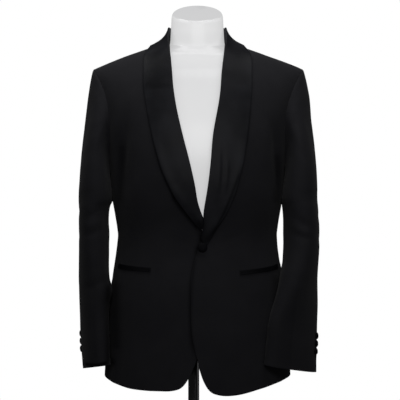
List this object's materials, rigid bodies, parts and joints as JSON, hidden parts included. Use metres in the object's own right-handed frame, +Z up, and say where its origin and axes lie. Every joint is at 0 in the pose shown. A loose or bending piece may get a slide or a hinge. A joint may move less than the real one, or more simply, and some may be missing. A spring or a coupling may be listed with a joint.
{
  "type": "tuxedo jacket on a dress form",
  "caption": "Black one-button dinner jacket with a satin shawl collar, buttoned on a glossy limbless dress form that stands on a pole and a round base.",
  "frame": {"origin": "on the surface that the base stands on, in the middle of the whole width and depth", "axes": "+Z up; the wearer faces -Y, so the wearer's left side is at +X"},
  "size_m": [0.5179, 0.3016, 1.0011],
  "materials": {
    "wool": "matte black fine twill",
    "satin": "black satin with a soft sheen",
    "covered_button": "black satin drawn over a button",
    "form_gloss": "glossy white",
    "pole_chrome": "polished",
    "base_steel": "fine brushed"
  },
  "bodies": {
    "root": {"front_left": "wool", "side_panel_left": "wool", "back_left": "wool", "top_sleeve_left": "wool", "under_sleeve_left": "wool", "front_right": "wool", "side_panel_right": "wool", "back_right": "wool", "top_sleeve_right": "wool", "under_sleeve_right": "wool", "shawl_collar_left": "satin", "pocket_jet_upper_left": "satin", "pocket_jet_lower_left": "satin", "shawl_collar_right": "satin", "pocket_jet_upper_right": "satin", "pocket_jet_lower_right": "satin", "cuff_button_left_1": "covered_button", "cuff_button_left_2": "covered_button", "cuff_button_left_3": "covered_button", "cuff_button_right_1": "covered_button", "cuff_button_right_2": "covered_button", "cuff_button_right_3": "covered_button", "front_button": "covered_button", "form_torso": "form_gloss", "form_pole": "pole_chrome", "form_base": "base_steel"}
  },
  "joints": []
}
